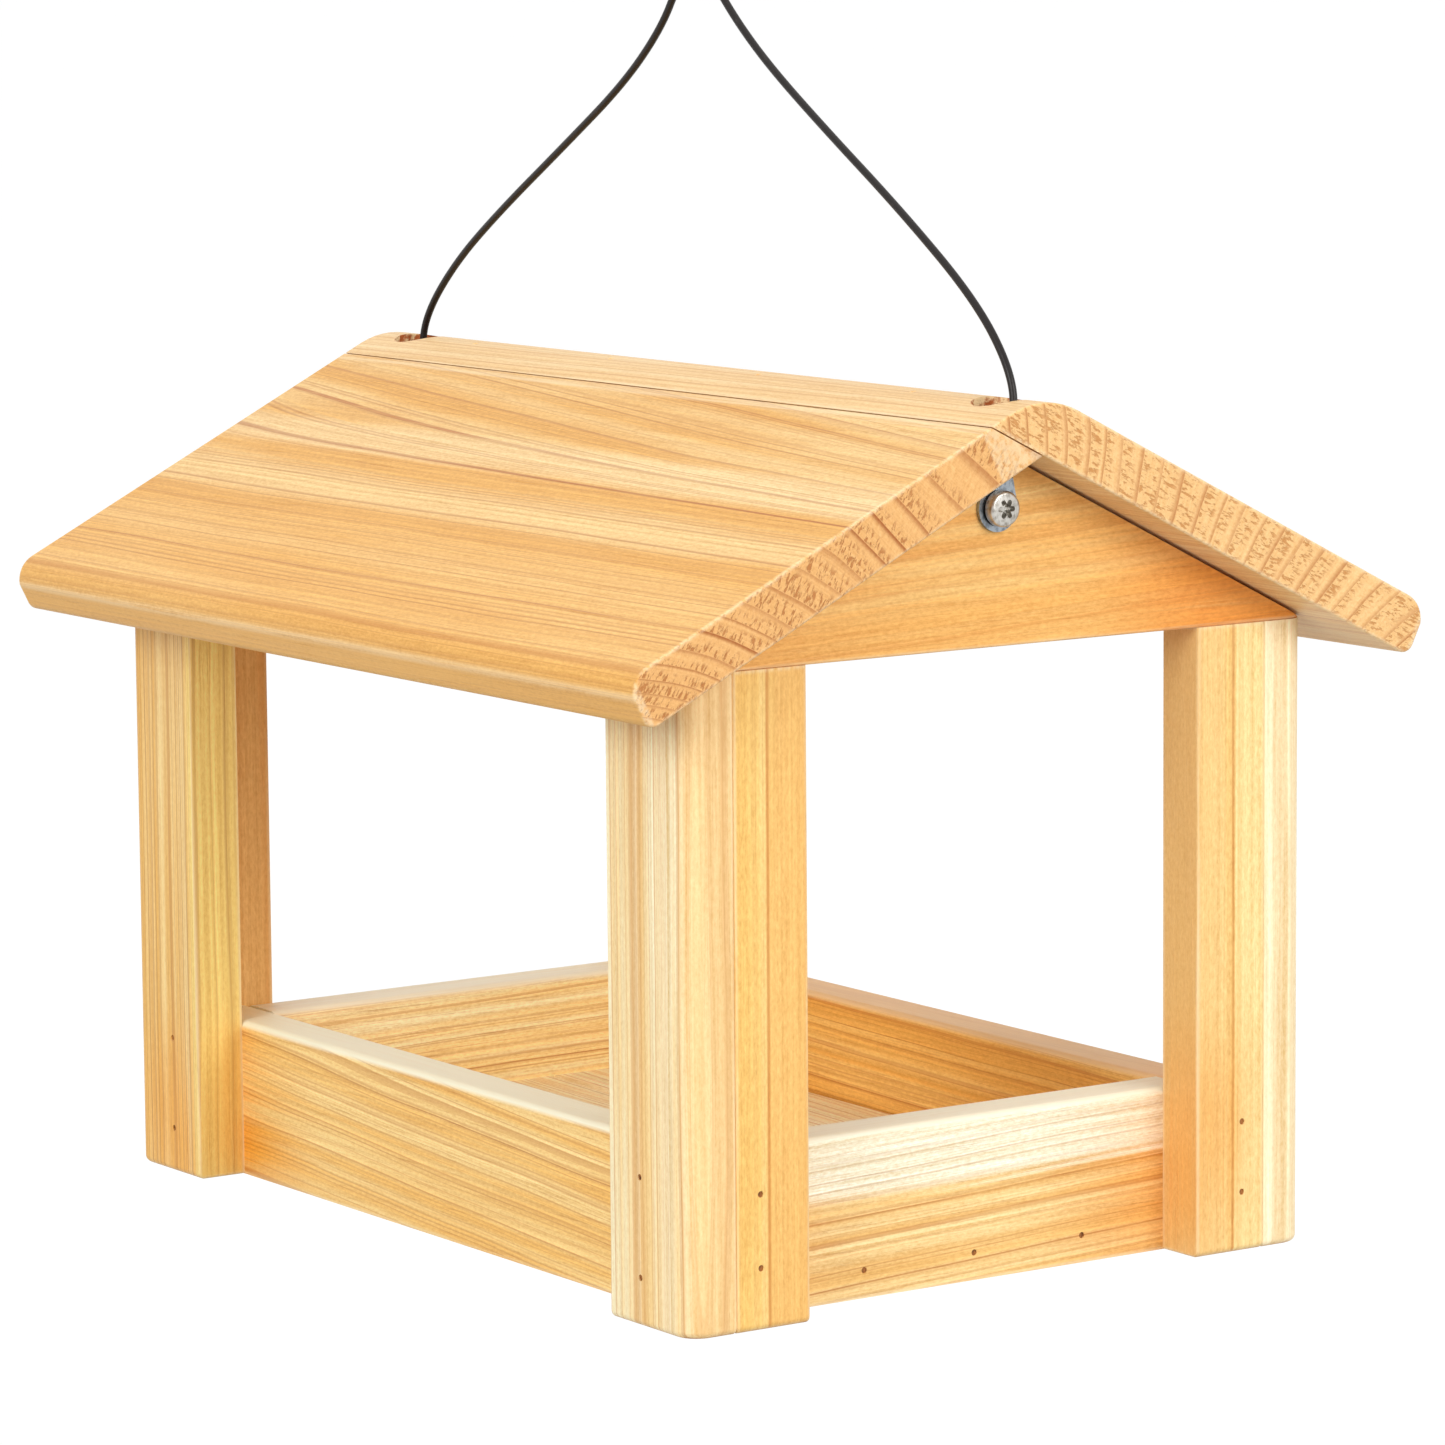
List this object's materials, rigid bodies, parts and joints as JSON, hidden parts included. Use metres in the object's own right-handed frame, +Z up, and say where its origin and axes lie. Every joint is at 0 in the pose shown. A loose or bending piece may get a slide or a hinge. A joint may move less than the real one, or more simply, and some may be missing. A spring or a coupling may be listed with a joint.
{
  "type": "hanging bird feeder",
  "caption": "Wooden fly-through bird feeder with an open seed tray on corner posts, gable ends, a loose gable roof that lifts for filling, and a coated wire hanger.",
  "frame": {"origin": "centre of the feeder at the underside of its tray and posts", "axes": "+Z up, +Y along the ridge towards the rear gable, +X towards the right eave"},
  "size_m": [0.2172, 0.273, 0.2941],
  "materials": {
    "roof_wood": "planed honey-coloured cedar",
    "gable_wood": "planed orange cedar",
    "post_wood": "planed pale cedar",
    "tray_wood": "planed pale cedar",
    "floor_wood": "planed orange-brown cedar",
    "screw_steel": "plated steel",
    "lug_zinc": "bright zinc plate",
    "brad_steel": "bright steel, sunk in the wood",
    "wire_coating": "dark coated steel wire"
  },
  "bodies": {
    "base": {"front_gable": "gable_wood", "rear_gable": "gable_wood", "front_left_side_stile": "post_wood", "front_left_end_stile": "post_wood", "front_right_side_stile": "post_wood", "front_right_end_stile": "post_wood", "rear_left_side_stile": "post_wood", "rear_left_end_stile": "post_wood", "rear_right_side_stile": "post_wood", "rear_right_end_stile": "post_wood", "left_tray_wall": "tray_wood", "right_tray_wall": "tray_wood", "front_tray_wall": "tray_wood", "rear_tray_wall": "tray_wood", "floor_board_1": "floor_wood", "floor_board_2": "floor_wood", "floor_board_3": "floor_wood", "front_lug_screw": "screw_steel", "rear_lug_screw": "screw_steel", "front_wire_lug": "lug_zinc", "rear_wire_lug": "lug_zinc", "side_stile_brads": "brad_steel", "end_stile_brads": "brad_steel", "floor_brads": "brad_steel", "gable_brads": "brad_steel", "hanger_wire": "wire_coating"},
    "roof": {"left_roof_board": "roof_wood", "right_roof_board": "roof_wood", "ridge_brads": "brad_steel"}
  },
  "joints": [
    {"name": "roof_lift", "type": "slide", "parent": "base", "child": "roof", "axis": [0, 0, 1], "range_m": [0, 0.035], "deforming": ["hanger_wire"]}
  ]
}
